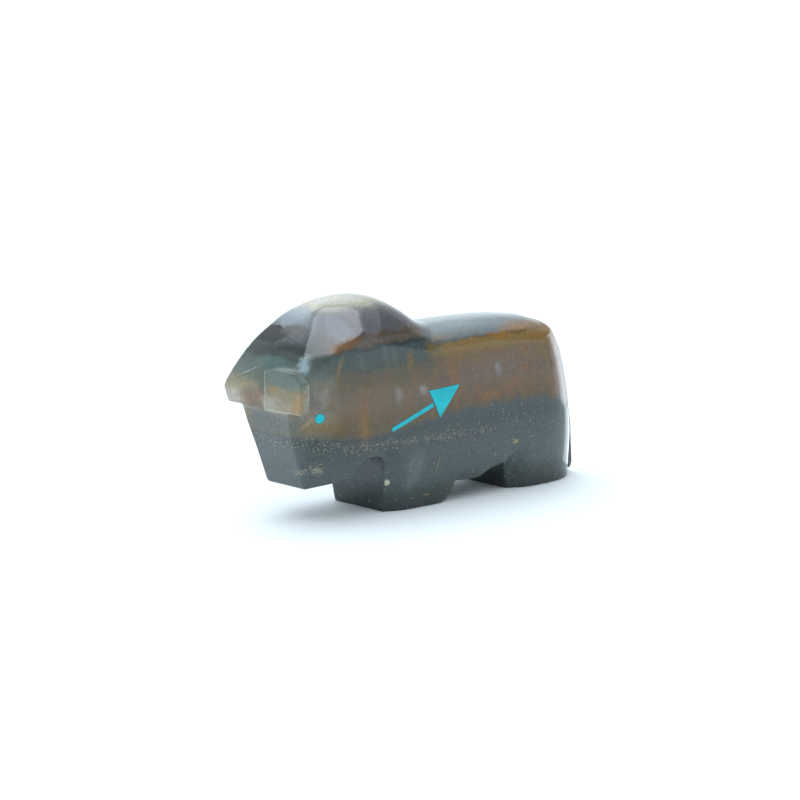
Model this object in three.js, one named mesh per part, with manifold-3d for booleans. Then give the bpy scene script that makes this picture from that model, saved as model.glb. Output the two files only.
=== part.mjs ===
// A small horse carved from banded stone, with turquoise inlay, in millimetres.
// The head points to -X, the floor is z = 0, and the horse stands on its two pairs of legs.
import * as THREE from "three";
import { mergeVertices } from "three/addons/utils/BufferGeometryUtils.js";
import Module from "manifold-3d";

const wasm = await Module();
wasm.setup();

// Driving dimensions of the side view, as points of x along the horse and z up
const MUZZLE = [-22.5, 4.55];
const FACE_TOP = [-25.2, 12.3];
const BROW = [-25.8, 14.6];
const FOREHEAD = [
  [-26.3, 18.85],
  [-25.55, 20.0],
  [-24.37, 21.8],
  [-21.9, 24.3],
  [-19.33, 26.6],
  [-17.4, 27.55],
  [-15.2, 28.5],
];
const CREST = [
  [-28, 25.2],
  [-24.5, 26.0],
  [-21, 26.85],
  [-18, 27.55],
  [-15.6, 27.88],
  [-12.5, 27.97],
  [-8.3, 27.15],
  [-5.75, 26.0],
  [-3.2, 24.5],
];
const MANE_REAR = [-1.4, 23.15];
const BACK = [
  [0.6, 23.0],
  [8.8, 22.92],
  [14.0, 22.6],
  [17.6, 22.0],
  [19.8, 21.2],
  [21.2, 19.6],
];
const RUMP = [
  [22.3, 16.9],
  [23.1, 14.0],
];
const RUMP_MIDDLE = [23.75, 10.9];
const RUMP_LOW = [24.45, 6.5];
const HEEL = [24.8, 0];
const BLANK_CHIN = [-28, 3.72];
const JAW = [-19.2, 5.05];
const CHIN_ARCH = { x: -13.6, z: 5.6, halfLength: 2.65, rise: 2.2 };
const FRONT_FOOT = [-10.3, -2.0];
const FRONT_LEG_REAR = [0.95, 1.75];
const BELLY_FRONT = [1.45, 2.5];
const BELLY_REAR = [5.4, 2.45];
const HIND_NOTCH = [9.1, 4.05];
const HIND_FOOT = 11.45;

// Driving dimensions across the horse: pairs of height and half width for its flanks
const FLANK = [
  [0, 5.8],
  [4, 6.45],
  [7, 6.9],
  [10, 7.15],
  [12, 7.2],
  [14, 7.1],
  [16, 6.85],
  [18, 6.5],
  [20, 6.15],
  [22, 5.8],
  [28, 4.8],
];
const CHEEK = { atOrigin: 11.75, perX: 0.4, perZ: 0.22 };
const MANE_ARCH = { halfWidth: 7.6, depth: 16, power: 2, headPower: 2.4, rearSlope: 1.05 };
const MANE_ARCH_CHANGES = { fromX: -23, toX: -19 };
const MANE_FACET = { point: [-18.64, -4.38, 23.7], outwards: [-0.155, -0.786, 0.598] };
const BACK_ARCH = { halfWidth: 7.4, depth: 7.5, power: 2.5 };
const FOREHEAD_CROWN = { fallsBack: 0.2, ridgeRadius: 1, forward: 0.45, risesFrom: 16.5, fullFrom: 19 };
const RUMP_PLAN = { startX: 15.5, power: 2.5 };
const CREST_FLAT = 0.12;
const SOFT_RIDGE = 0.4;
const SOFT_CREASE = 1.0;
const LEG_CORNERS = [
  { x: -10.3, lean: -0.14, share: 0.165, spread: 1.7, fullTo: 5.5, endsAt: 9.5 },
  { x: 0.95, lean: 0, share: 0.07, spread: 1.9, fullTo: 1, endsAt: 4.5 },
  { x: 11.45, lean: 0, share: 0.21, spread: 1.6, fullTo: 2.2, endsAt: 6.5 },
];
const EAR_COVER = 0.05;
const FAR_EAR_TOP_REACH = 3.5;
const BELLY_EDGE = { chamfer: 0.5, height: 1.0, endsAt: 8.6 };

// Driving dimensions of the ears, outlines as points of y across and z up
const NEAR_EAR = {
  frontX: -26.15,
  thickness: 1.4,
  bevel: 0.25,
  outline: [
    [-0.2, 14.7],
    [-0.2, 19.6],
    [-2.2, 20.0],
    [-6.1, 20.0],
    [-7.5, 18.9],
    [-7.65, 16.7],
    [-7.5, 14.7],
  ],
};
const FAR_EAR = {
  frontX: -25.65,
  thickness: 2.6,
  bevel: 0.2,
  turn: 5.4,
  outline: [
    [-0.4, 14.8],
    [6.85, 14.8],
    [7.6, 16.65],
    [7.45, 17.3],
    [7.15, 18.9],
    [6.75, 20.0],
    [6.15, 21.2],
    [-0.4, 21.2],
  ],
};

// The tail lies down the middle of the rump as a raised ridge
const TAIL = { halfWidth: 2.3, bevel: 0.35, root: 2.6, rootTop: 19 };
const TAIL_RIDGE = [
  [18.4, 21.6],
  [20.5, 20.65],
  [22.15, 19.2],
  [23.3, 17.3],
  [24.15, 14.7],
  [24.9, 10.9],
  [25.6, 6.5],
  [25.95, 1.1],
  [25.5, 0.5],
];

// Turquoise inlay
const EYE = { x: -21.92, z: 13.8, diameter: 1.22, depth: 0.9, sides: 24 };
const ARROW = {
  tailX: -10.9,
  tailZ: 11.07,
  shaftLength: 7.3,
  shaftAngle: 18.9,
  shaftWidth: 0.56,
  tipX: 0.85,
  tipZ: 15.53,
  headLength: 4.85,
  headWidth: 4.0,
  headAngle: 24.8,
  depth: 0.9,
};
const GLUE_LINE = 0.08;
const OUTSIDE = 12;

const stone = new THREE.MeshStandardMaterial({ color: 0x5f655f, roughness: 0.3, metalness: 0 });
const turquoise = new THREE.MeshStandardMaterial({ color: 0x2bbccd, roughness: 0.4, metalness: 0 });

const vec = ([x, z]) => new THREE.Vector2(x, z);
const radians = THREE.MathUtils.degToRad;
const flipped = ([x, z]) => [z, x];

// Straight-line interpolation in a list of [position, value] pairs.
function along(pairs, at) {
  const last = pairs.length - 1;
  if (at <= pairs[0][0]) return pairs[0][1];
  if (at >= pairs[last][0]) return pairs[last][1];
  const i = pairs.findIndex(([position]) => position > at);
  const [p0, v0] = pairs[i - 1];
  const [p1, v1] = pairs[i];
  return THREE.MathUtils.mapLinear(at, p0, p1, v0, v1);
}

// The smaller or the larger of two lengths, with the corner where they cross rounded off.
function softMin(a, b, round) {
  const near = Math.max(0, round - Math.abs(a - b));
  return Math.min(a, b) - near ** 2 / (4 * round);
}
const softMax = (a, b, round) => -softMin(-a, -b, round);

// The topline: crest of the mane, back and rump in one smooth curve on the centre plane
const topline = new THREE.SplineCurve([...CREST, MANE_REAR, ...BACK, ...RUMP, RUMP_MIDDLE].map(vec));
const TOPLINE_SAMPLES = 400;
const toplinePairs = topline.getSpacedPoints(TOPLINE_SAMPLES).map((p) => [p.x, p.y]);
const toplineHeight = (x) => along(toplinePairs, x);
const toplineShare = (x) => toplinePairs.findIndex(([px]) => px >= x) / TOPLINE_SAMPLES;
const rearPairs = [HEEL, RUMP_LOW, RUMP_MIDDLE, ...RUMP.toReversed()].map(flipped);
const rearX = (z) => along(rearPairs, z);

// Half width of a rounded top, at a depth below its crest line.
function archHalfWidth(depthBelowCrest, { halfWidth, depth, power }) {
  if (depthBelowCrest <= 0) return 0;
  const left = Math.max(0, 1 - depthBelowCrest / depth);
  return halfWidth * (1 - left ** power) ** (1 / power);
}

function maneCrest(x) {
  if (x < MANE_REAR[0]) return toplineHeight(x);
  return MANE_REAR[1] - (x - MANE_REAR[0]) * MANE_ARCH.rearSlope;
}

const backCrest = (x) => (x < BACK[0][0] ? BACK[0][1] : toplineHeight(x));

// The share of the half width that is ground away at the corners of the legs.
function cornerLoss(x, z) {
  const losses = LEG_CORNERS.map((corner) => {
    const distance = (x - corner.x - corner.lean * z) / corner.spread;
    const left = 1 - THREE.MathUtils.smoothstep(z, corner.fullTo, corner.endsAt);
    return corner.share * Math.exp(-(distance ** 2)) * left;
  });
  return losses.reduce((sum, loss) => sum + loss, 0);
}

// The belly's lower edge is chamfered between the legs.
function bellyChamfer(x, z) {
  if (x < BELLY_FRONT[0] || x > BELLY_EDGE.endsAt) return 0;
  const height = z - along([BELLY_FRONT, BELLY_REAR, HIND_NOTCH], x);
  const fade = Math.min(1, (BELLY_EDGE.endsAt - x) / BELLY_EDGE.height);
  return BELLY_EDGE.chamfer * fade * Math.max(0, 1 - height / BELLY_EDGE.height);
}

const cheekHalfWidth = (x, z) => CHEEK.atOrigin + CHEEK.perX * x + CHEEK.perZ * z;

// Half width of the carving at a point of its side view, before the head is cut to shape.
function halfWidth(x, z) {
  const flank = along(FLANK, z) * (1 - cornerLoss(x, z)) - bellyChamfer(x, z);
  const headShare = 1 - THREE.MathUtils.smoothstep(x, MANE_ARCH_CHANGES.fromX, MANE_ARCH_CHANGES.toX);
  const power = THREE.MathUtils.lerp(MANE_ARCH.power, MANE_ARCH.headPower, headShare);
  const mane = archHalfWidth(maneCrest(x) - z, { ...MANE_ARCH, power });
  const back = archHalfWidth(backCrest(x) - z, BACK_ARCH);
  const top = softMax(mane, back, SOFT_CREASE);
  const rumpShare = Math.max(0, (x - RUMP_PLAN.startX) / (rearX(z) - RUMP_PLAN.startX));
  const rump = flank * Math.max(0, 1 - rumpShare ** RUMP_PLAN.power) ** (1 / RUMP_PLAN.power);
  return Math.max(CREST_FLAT, Math.min(softMin(flank, top, SOFT_RIDGE), rump));
}

// The underside from chin to rump, each stretch matched with the topline above it
const line = (a, b) => new THREE.LineCurve(vec(a), vec(b));
const bend = (a, control, b) => new THREE.QuadraticBezierCurve(vec(a), vec(control), vec(b));
const archRear = [CHIN_ARCH.x + CHIN_ARCH.halfLength, CHIN_ARCH.z];
const archFront = [CHIN_ARCH.x - CHIN_ARCH.halfLength, CHIN_ARCH.z];
const chinArch = new THREE.EllipseCurve(
  CHIN_ARCH.x, CHIN_ARCH.z, CHIN_ARCH.halfLength, CHIN_ARCH.rise, Math.PI, 0, true,
);
const legBend = [0.35, 0];
const notchBend = [10.9, 3.4];
// Each row: the stretch of the underside, where the topline over it ends, and its steps
const STRETCHES = [
  [line(BLANK_CHIN, JAW), -20, 6],
  [line(JAW, archFront), -16.5, 3],
  [chinArch, -12.2, 12],
  [line(archRear, [FRONT_FOOT[0], 0]), -11, 4],
  [line([FRONT_FOOT[0], 0], [FRONT_FOOT[1], 0]), -4.2, 8],
  [bend([FRONT_FOOT[1], 0], legBend, FRONT_LEG_REAR), -1.2, 6],
  [line(FRONT_LEG_REAR, BELLY_FRONT), -0.4, 2],
  [line(BELLY_FRONT, BELLY_REAR), 5, 4],
  [line(BELLY_REAR, HIND_NOTCH), 9.2, 4],
  [bend(HIND_NOTCH, notchBend, [HIND_FOOT, 0]), 11.8, 6],
  [line([HIND_FOOT, 0], HEEL), 20.6, 12],
  [line(HEEL, RUMP_LOW), 22, 4],
  [line(RUMP_LOW, RUMP_MIDDLE), RUMP_MIDDLE[0], 4],
];
const HEIGHT_STEPS = 22;

// Lower and upper end of every rung of the side view, from the chin to the rump.
function rungs() {
  const made = [];
  let share = 0;
  STRETCHES.forEach(([curve, toplineEnd, steps], row) => {
    const endShare = row === STRETCHES.length - 1 ? 1 : toplineShare(toplineEnd);
    for (let i = row ? 1 : 0; i <= steps; i++) {
      const t = i / steps;
      made.push([curve.getPoint(t), topline.getPointAt(THREE.MathUtils.lerp(share, endShare, t))]);
    }
    share = endShare;
  });
  const [lowest, highest] = made.at(-1);
  highest.set(lowest.x, lowest.y + CREST_FLAT);
  return made;
}

// The blank: a box whose near and far faces become the two sides of the horse.
function blankGeometry() {
  const rows = rungs();
  const lengthSteps = rows.length - 1;
  const box = new THREE.BoxGeometry(1, 1, 1, lengthSteps, 1, HEIGHT_STEPS);
  const position = box.attributes.position;
  for (let i = 0; i < position.count; i++) {
    const [low, high] = rows[Math.round((position.getX(i) + 0.5) * lengthSteps)];
    const share = (1 - Math.cos(Math.PI * (position.getZ(i) + 0.5))) / 2;
    const x = THREE.MathUtils.lerp(low.x, high.x, share);
    const z = THREE.MathUtils.lerp(low.y, high.y, share);
    position.setXYZ(i, x, Math.sign(position.getY(i)) * halfWidth(x, z), z);
  }
  return box;
}

// What is cut away in front of a profile of [x, z] points. frontAt(x, y, z) gives the cut's face.
const FOREHEAD_STEPS = 32;
const CROWN_STEPS = 32;
const foreheadCurve = new THREE.SplineCurve(FOREHEAD.map(vec));
const foreheadProfile = foreheadCurve.getPoints(FOREHEAD_STEPS).map((p) => [p.x, p.y]);

// How far the forehead falls back beside its middle line.
function crown(y) {
  return FOREHEAD_CROWN.fallsBack * Math.hypot(y, FOREHEAD_CROWN.ridgeRadius) - FOREHEAD_CROWN.forward;
}

function wasteInFront(profile, frontAt) {
  const rows = profile.length - 1;
  const box = new THREE.BoxGeometry(1, 1, 1, 1, CROWN_STEPS, rows);
  const position = box.attributes.position;
  for (let i = 0; i < position.count; i++) {
    const [profileX, z] = profile[Math.round((position.getZ(i) + 0.5) * rows)];
    const y = 2 * OUTSIDE * position.getY(i);
    const x = position.getX(i) < 0 ? FACE_TOP[0] - OUTSIDE : frontAt(profileX, y, z);
    position.setXYZ(i, x, y, z);
  }
  return box;
}

// The muzzle's front and the forehead, which is crowned above the ears and covered by them below.
function frontWasteGeometry() {
  const chin = [MUZZLE[0] + (MUZZLE[0] - FACE_TOP[0]), MUZZLE[1] + (MUZZLE[1] - FACE_TOP[1])];
  return wasteInFront([chin, FACE_TOP, BROW, ...foreheadProfile], (x, y, z) => {
    const rise = THREE.MathUtils.smoothstep(z, FOREHEAD_CROWN.risesFrom, FOREHEAD_CROWN.fullFrom);
    const behindEars = FAR_EAR.frontX - Math.tan(radians(FAR_EAR.turn)) * Math.max(0, y) + EAR_COVER;
    return Math.max(x + rise * crown(y), behindEars);
  });
}

// The forehead carried on downwards, which gives the far ear its sloping top.
function earTopWasteGeometry() {
  const [lowest, next] = FOREHEAD;
  const slope = (next[0] - lowest[0]) / (next[1] - lowest[1]);
  const foot = [lowest[0] - slope * FAR_EAR_TOP_REACH, lowest[1] - FAR_EAR_TOP_REACH];
  return wasteInFront([foot, ...foreheadProfile], (x, y) => x + crown(y));
}

// A flat outline with bevelled edges, in the (across, up) plane, given thickness towards +X.
function slab({ outline, frontX, thickness, bevel }) {
  const geometry = new THREE.ExtrudeGeometry(new THREE.Shape(outline.map(vec)), {
    depth: thickness - 2 * bevel,
    bevelThickness: bevel,
    bevelSize: bevel,
    bevelOffset: -bevel,
    bevelSegments: 2,
  });
  const turn = new THREE.Matrix4().makeBasis(
    new THREE.Vector3(0, 1, 0), new THREE.Vector3(0, 0, 1), new THREE.Vector3(1, 0, 0),
  );
  return geometry.applyMatrix4(turn).translate(frontX + bevel, 0, 0);
}

function tailGeometry() {
  const everySecond = TAIL_RIDGE.filter((point, i) => i % 2 === 0);
  const inner = everySecond.map(([x, z]) => [x - TAIL.root, Math.min(z, TAIL.rootTop)]);
  const shape = new THREE.Shape([...TAIL_RIDGE, ...inner.toReversed()].map(vec));
  const geometry = new THREE.ExtrudeGeometry(shape, {
    depth: 2 * (TAIL.halfWidth - TAIL.bevel),
    bevelThickness: TAIL.bevel,
    bevelSize: TAIL.bevel,
    bevelOffset: -TAIL.bevel,
    bevelSegments: 2,
  });
  return geometry.rotateX(Math.PI / 2).translate(0, TAIL.halfWidth - TAIL.bevel, 0);
}

// A closed geometry as a solid that can be joined and cut.
function toSolid(geometry) {
  const bare = geometry.clone();
  bare.deleteAttribute("normal");
  bare.deleteAttribute("uv");
  const merged = mergeVertices(bare, 1e-4);
  return new wasm.Manifold(
    new wasm.Mesh({
      numProp: 3,
      vertProperties: new Float32Array(merged.attributes.position.array),
      triVerts: new Uint32Array(merged.index.array),
    }),
  );
}

function toMesh(solid, name, material) {
  const { vertProperties, triVerts } = solid.getMesh();
  const geometry = new THREE.BufferGeometry();
  geometry.setAttribute("position", new THREE.BufferAttribute(vertProperties, 3));
  geometry.setIndex(new THREE.BufferAttribute(triVerts, 1));
  geometry.computeVertexNormals();
  const mesh = new THREE.Mesh(geometry, material);
  mesh.name = name;
  return mesh;
}

// The part of a solid on the side of a plane that its normal points to.
function keepInFront(solid, plane) {
  return solid.trimByPlane(plane.normal.toArray(), -plane.constant);
}

const cheekPlane = (side) => {
  return new THREE.Plane(new THREE.Vector3(CHEEK.perX, -side, CHEEK.perZ), CHEEK.atOrigin).normalize();
};

// A flat facet on the near side of the mane, beside the forehead.
const facetPlane = new THREE.Plane().setFromNormalAndCoplanarPoint(
  new THREE.Vector3(...MANE_FACET.outwards).normalize().negate(),
  new THREE.Vector3(...MANE_FACET.point),
);

// The far ear is thicker and turned outwards, and its top is a lower stretch of the forehead.
function farEar() {
  const flat = slab({ ...FAR_EAR, frontX: 0 });
  const turned = flat.rotateZ(radians(FAR_EAR.turn)).translate(FAR_EAR.frontX, 0, 0);
  return toSolid(turned).subtract(toSolid(earTopWasteGeometry()));
}

// A straight-sided plug cut into the near side, from its floor outwards.
function sidePlug(points, floorY) {
  const shape = new THREE.Shape(points.map(vec));
  const geometry = new THREE.ExtrudeGeometry(shape, { depth: OUTSIDE, bevelEnabled: false });
  return toSolid(geometry.rotateX(Math.PI / 2).translate(0, floorY, 0));
}

// The arrow's shaft as a strip, grown on all sides by the given margin.
function shaftOutline(margin) {
  const half = ARROW.shaftWidth / 2 + margin;
  const direction = vec([1, 0]).rotateAround(vec([0, 0]), radians(ARROW.shaftAngle));
  const across = vec([-direction.y, direction.x]);
  const point = (distance, side) => [
    ARROW.tailX + direction.x * distance + across.x * side,
    ARROW.tailZ + direction.y * distance + across.y * side,
  ];
  const end = ARROW.shaftLength + ARROW.headLength / 4;
  return [point(-margin, -half), point(end, -half), point(end, half), point(-margin, half)];
}

// The arrowhead as a triangle, each side moved out by the given margin.
function headOutline(margin) {
  const slant = Math.atan2(ARROW.headWidth / 2, ARROW.headLength);
  const tipGrowth = margin / Math.sin(slant);
  const base = ARROW.headLength + margin;
  const halfBase = (base + tipGrowth) * Math.tan(slant);
  const turn = radians(ARROW.headAngle);
  const place = (back, side) => [
    ARROW.tipX - Math.cos(turn) * back - Math.sin(turn) * side,
    ARROW.tipZ - Math.sin(turn) * back + Math.cos(turn) * side,
  ];
  return [place(-tipGrowth, 0), place(base, halfBase), place(base, -halfBase)];
}

// The eye is a round rod set square into the cheek, on one side of the head.
function eyeRod(side, margin) {
  const surface = new THREE.Vector3(EYE.x, side * cheekHalfWidth(EYE.x, EYE.z), EYE.z);
  const outwards = cheekPlane(side).normal.negate();
  const inside = EYE.depth + margin;
  const radius = EYE.diameter / 2 + margin;
  const rod = new THREE.CylinderGeometry(radius, radius, 2 * inside, EYE.sides);
  rod.applyQuaternion(new THREE.Quaternion().setFromUnitVectors(new THREE.Vector3(0, 1, 0), outwards));
  return toSolid(rod.translate(surface.x, surface.y, surface.z));
}

// The carving is cut from its blank, then its ears and tail are joined on
const head = toSolid(blankGeometry()).subtract(toSolid(frontWasteGeometry()));
const carving = [cheekPlane(-1), cheekPlane(1), facetPlane]
  .reduce(keepInFront, head)
  .add(toSolid(slab(NEAR_EAR)))
  .add(farEar())
  .add(toSolid(tailGeometry()));

const inlayFloor = -halfWidth(ARROW.tipX, ARROW.tailZ) + ARROW.depth;
const plugs = {
  arrowhead_inlay: (margin) => sidePlug(headOutline(margin), inlayFloor + margin),
  arrow_shaft_inlay: (margin) => sidePlug(shaftOutline(margin), inlayFloor + margin),
  eye_inlay_left: (margin) => eyeRod(-1, margin),
  eye_inlay_right: (margin) => eyeRod(1, margin),
};
let body = carving;
const inlays = {};
for (const [name, plug] of Object.entries(plugs)) {
  inlays[name] = body.intersect(plug(0));
  body = body.subtract(plug(GLUE_LINE));
}

const horse = new THREE.Group();
horse.add(toMesh(body, "stone_body", stone));
for (const [name, solid] of Object.entries(inlays)) {
  horse.add(toMesh(solid, name, turquoise));
}

export default horse;
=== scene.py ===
# %% [markdown]
# # A small stone horse with turquoise inlay
# The real thing is a pocket carving about 52 mm long. Somebody sawed a block of banded stone to a
# horse's side view, ground its edges round, polished it, and let three bits of turquoise into it.
# This lesson rebuilds it round a plain CAD frame: first the solid shape, then the stone, then the
# inlay, and last the light. Lengths are in millimetres until a mesh is made, then in metres.

# %% Load the fixed frame
import bpy
import numpy as np
from mathutils import Matrix


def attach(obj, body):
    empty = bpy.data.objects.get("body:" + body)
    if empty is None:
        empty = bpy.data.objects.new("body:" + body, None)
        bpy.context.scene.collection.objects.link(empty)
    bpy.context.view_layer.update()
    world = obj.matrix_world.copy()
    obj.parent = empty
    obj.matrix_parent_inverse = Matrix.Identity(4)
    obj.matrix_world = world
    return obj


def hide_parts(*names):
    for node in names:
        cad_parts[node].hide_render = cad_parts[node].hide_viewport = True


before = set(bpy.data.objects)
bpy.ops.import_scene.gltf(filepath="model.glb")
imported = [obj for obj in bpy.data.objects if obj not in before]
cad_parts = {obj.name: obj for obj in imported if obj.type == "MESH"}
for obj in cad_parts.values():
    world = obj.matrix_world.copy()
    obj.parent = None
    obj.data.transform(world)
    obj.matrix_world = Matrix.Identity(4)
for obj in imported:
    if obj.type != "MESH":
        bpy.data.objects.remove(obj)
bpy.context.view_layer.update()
MM = 0.001
print("CAD nodes:", len(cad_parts))

# %% [markdown]
# ## Shapes as distances
# The carving is one solid with overhangs: ears that stand proud, an arch under the chin, a notch
# before the hind legs. One grid can't wrap all of that, so the shape is a field instead: a function
# that says about how far a point is outside the stone (more than zero) or inside (less than zero).
# Two cuts are joined by taking the larger distance, and a rounded edge is a small change to that.


# %% Rounded cuts and joints
def cut(a, b, radius):
    """Inside a and inside b: the larger distance, or within a radius of the edge the length of the
    two overshoots, which rounds the edge like a worn or polished one."""
    over_a = np.maximum(a + radius, 0)
    over_b = np.maximum(b + radius, 0)
    return np.minimum(np.maximum(a, b), -radius) + np.hypot(over_a, over_b)


def join(a, b, radius):
    """Inside a or inside b: the same rule turned inside out, so the corner becomes a cove."""
    return -cut(-a, -b, radius)


print("a right-angled edge of radius 1 mm, 1 mm inside both faces:", cut(-1.0, -1.0, 1.0))

# %% [markdown]
# ## Lines, outlines and round tops
# A carver draws a shape on the block before cutting it. Here that drawing is a smooth line through
# a few points, or a closed outline of straight sides. A round top or a barrel end is an ellipse
# with a power: the sum of a point's two shares of the half axes, each to that power, is 1 on it.
# Dividing by the slope of that sum turns it into a length in millimetres.


# %% Lines, outlines and round tops
def smooth_line(points):
    """A curve through points: between two of them a cubic whose slopes at its ends are those of
    the neighbours, and beyond the last ones a straight line."""
    at, value = np.array(points, float).T
    slope = np.gradient(value, at)

    def height(s):
        i = np.clip(np.searchsorted(at, s) - 1, 0, len(at) - 2)
        width = at[i + 1] - at[i]
        t = np.clip((s - at[i]) / width, 0, 1)
        start = (1 + 2 * t) * (1 - t) ** 2 * value[i] + t * (1 - t) ** 2 * width * slope[i]
        end = t**2 * (3 - 2 * t) * value[i + 1] + t**2 * (t - 1) * width * slope[i + 1]
        beyond = np.minimum(s - at[0], 0) * slope[0] + np.maximum(s - at[-1], 0) * slope[-1]
        return start + end + beyond

    return height


def steepness(line, s, step=0.05):
    """Slope of a line, from its rise over a tenth of a millimetre."""
    return (line(s + step) - line(s - step)) / (2 * step)


def smooth_step(s, low, high):
    """0 below low, 1 above high, and an S-shaped rise between them."""
    t = np.clip((s - low) / (high - low), 0, 1)
    return t * t * (3 - 2 * t)


def outline_distance(u, v, outline):
    """Distance to a closed outline in a plane: the length to its nearest side, and less than zero
    inside, where a level line from the point crosses the sides an odd number of times."""
    nearest = np.inf
    inside = False
    for (u0, v0), (u1, v1) in zip(outline, np.roll(outline, -1, axis=0)):
        along_u, along_v = u1 - u0, v1 - v0
        t = np.clip(((u - u0) * along_u + (v - v0) * along_v) / (along_u**2 + along_v**2), 0, 1)
        nearest = np.minimum(nearest, (u - u0 - t * along_u) ** 2 + (v - v0 - t * along_v) ** 2)
        if v0 != v1:
            crosses = (v0 > v) != (v1 > v)
            inside = inside ^ (crosses & (u < u0 + (v - v0) * along_u / along_v))
    return np.where(inside, -1, 1) * np.sqrt(nearest)


def round_top(share_a, share_b, growth_a, growth_b, power, least_slope):
    """Distance to an ellipse with a power. The size is the root of the sum of both shares to the
    power, and it is 1 on the surface. The growths are how much each share grows in a millimetre,
    and the least slope keeps the distance finite deep inside."""
    size = np.maximum((share_a**power + share_b**power) ** (1 / power), 1e-6)
    slope_a = (share_a / size) ** (power - 1) * growth_a
    slope_b = (share_b / size) ** (power - 1) * growth_b
    return (size - 1) / np.maximum(np.hypot(slope_a, slope_b), least_slope)


unit_square = np.array([(0, 0), (1, 0), (1, 1), (0, 1)])
print("distance to a unit square from its middle:", float(outline_distance(0.5, 0.5, unit_square)))

# %% [markdown]
# ## The horse's outlines
# A carver starts from the side view. Mane, back and rump make one line above; below, the jaw, the
# arch under the chin, the front foot, the belly, a notch and the hind foot make another. Seen from
# above the flanks are nearly flat, and the rump is rounded like a barrel end.

# %% Lines above: height at a place along the horse, or place at a height
CREST = [  # x, height
    (-28, 25.2), (-24.5, 26), (-21, 26.85), (-18, 27.55), (-15.6, 27.88), (-12.5, 27.97), (-8.3, 27.15),
    (-5.75, 26), (-3.2, 24.5), (-1.4, 23.15), (0.6, 21.1), (6, 15.4),
]
BACK = [  # x, height
    (-6, 23), (0.6, 23), (8.8, 22.92), (14, 22.6), (17.6, 22), (19.8, 21.2), (21.2, 19.6), (22.3, 16.9),
    (23.1, 14), (23.75, 10.9),
]
REAR = [  # height, x
    (0, 24.8), (6.5, 24.45), (10.9, 23.75), (14, 23.1), (16.9, 22.3), (19.6, 21.2), (21.2, 19.8),
    (22, 17.6),
]
FOREHEAD = [  # height, x
    (18.85, -26.3), (20, -25.55), (21.8, -24.37), (24.3, -21.9), (26.6, -19.33), (27.55, -17.4),
    (28.5, -15.2),
]
FACE = [(4.55, -22.5), (12.3, -25.2), (14.6, -25.8), (17, -25.6), (20, -25.6)]  # height, x
FLANK = [  # height, half width
    (0, 5.8), (4, 6.45), (7, 6.9), (10, 7.15), (12, 7.2), (14, 7.1), (16, 6.85), (18, 6.5), (20, 6.15),
    (22, 5.8), (28, 4.8),
]
crest_height = smooth_line(CREST)
back_height = smooth_line(BACK)
rear_place = smooth_line(REAR)
forehead_place = smooth_line(FOREHEAD)
flank_width = smooth_line(FLANK)


def face_place(z):
    """Front of the face at a height: straight from point to point, and on below the first one."""
    height, place = np.array(FACE).T
    lean = (place[1] - place[0]) / (height[1] - height[0])
    return np.interp(z, height, place) + np.minimum(z - height[0], 0) * lean


print("top of the mane:", round(float(crest_height(-12.5)), 2), "mm")

# %% [markdown]
# ## The line below
# The underside is one closed outline. Its toes are sharp, the front heel and the notch before the
# hind foot are bends towards a control point, and the arch under the chin is half an ellipse, as a
# round file leaves it.


# %% Line below, in x and height
def bend(start, control, end, steps=10):
    """A curve pulled towards a control point: the three points weighted (1-t)², 2t(1-t) and t²."""
    t = np.linspace(0, 1, steps)[:, None]
    return (1 - t) ** 2 * np.array(start) + 2 * t * (1 - t) * np.array(control) + t**2 * np.array(end)


FRONT_TOE, FRONT_HEEL, HIND_TOE = -10.3, 0.95, 11.45
BELLY = np.array([(1.45, 2.5), (5.4, 2.45), (9.1, 4.05)])
ARCH_CENTRE = (-13.6, 5.6)
ARCH_HALF_AXES = (2.65, 2.2)
angle = np.linspace(np.pi, 0, 16)[:, None]
chin_arch = np.array(ARCH_CENTRE) + np.array(ARCH_HALF_AXES) * np.hstack([np.cos(angle), np.sin(angle)])
underside = np.vstack([
    [(-40, 1.65), (-19.2, 4.85)],  # jaw
    chin_arch,
    [(FRONT_TOE, 0)],
    bend((-2, 0), (0.35, 0), (FRONT_HEEL, 1.75)),
    BELLY[:2],
    bend(BELLY[2], (10.9, 3.4), (HIND_TOE, 0)),  # notch before the hind foot
    [(60, 0), (60, 60), (-40, 60)],  # round everything above
])
print("points of the underside:", len(underside))

# %% [markdown]
# ## The body as a field
# Mane and back are round tops that run along the horse, and the rump is a round end to the flanks.
# The two tops are joined, the flanks and the rump cut them to width, and the underside cuts the
# legs free. Where two cuts meet, the edge keeps the small radius that polishing gives it.

# %% Flanks, mane, back and rump
# Each corner of a leg: x at the floor, lean in x for each mm up, share of the half width that is
# ground away, its spread along the horse, and the heights where that starts to fade and ends.
LEG_CORNERS = [
    (FRONT_TOE, -0.14, 0.165, 1.7, 5.5, 9.5),
    (FRONT_HEEL, 0, 0.07, 1.9, 1, 4.5),
    (HIND_TOE, 0, 0.21, 1.6, 2.2, 6.5),
]
BELLY_CHAMFER = 0.5
CHAMFER_HEIGHTS = (-0.2, 1.2)  # over the belly: full below the first, gone above the second
CHAMFER_STARTS, CHAMFER_ENDS = (0.6, 1.8), (7.4, 8.8)  # x where it grows and where it goes again
RUMP_START = 15.5
MANE_HALF_WIDTH, MANE_REACH = 7.6, 16
BACK_HALF_WIDTH, BACK_REACH = 7.4, 7.5
BARREL_POWER = 2.5
EDGE_RADIUS = 0.3
NECK_COVE = 1.0


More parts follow.
